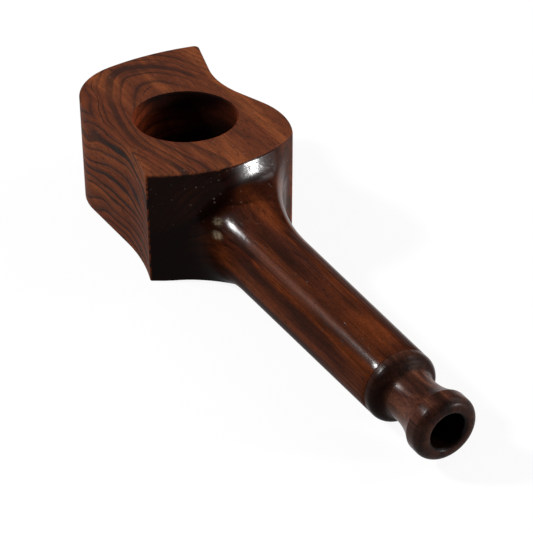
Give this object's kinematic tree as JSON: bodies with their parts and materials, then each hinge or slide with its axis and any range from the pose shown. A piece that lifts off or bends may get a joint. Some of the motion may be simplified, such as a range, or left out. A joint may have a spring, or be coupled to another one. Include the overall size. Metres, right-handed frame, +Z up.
{
  "type": "tobacco pipe",
  "caption": "Small wooden hand pipe: waved flat-topped block with a bored bowl, round shank, push-fit turned mouthpiece with a flared lip, and a pierced brass gauze in the bowl.",
  "frame": {"origin": "point of the flat base straight below the bowl's axis", "axes": "+X along the shank towards the mouth, +Z up out of the bowl, +Y to the side of the crest"},
  "size_m": [0.1052, 0.0304, 0.0202],
  "materials": {
    "block_wood": "sanded satin block, polished front wall and shank",
    "mouth_wood": "polished",
    "gauze_brass": "dulled"
  },
  "bodies": {
    "body": {"bowl_body": "block_wood"},
    "mouth": {"mouthpiece": "mouth_wood"},
    "screen": {"bowl_screen": "gauze_brass"}
  },
  "joints": [
    {"name": "mouthpiece_pull", "type": "slide", "parent": "body", "child": "mouth", "axis": [1, 0, 0], "range_m": [0, 0.014]},
    {"name": "screen_lift", "type": "slide", "parent": "body", "child": "screen", "axis": [0, 0, 1], "range_m": [0, 0.013]}
  ]
}
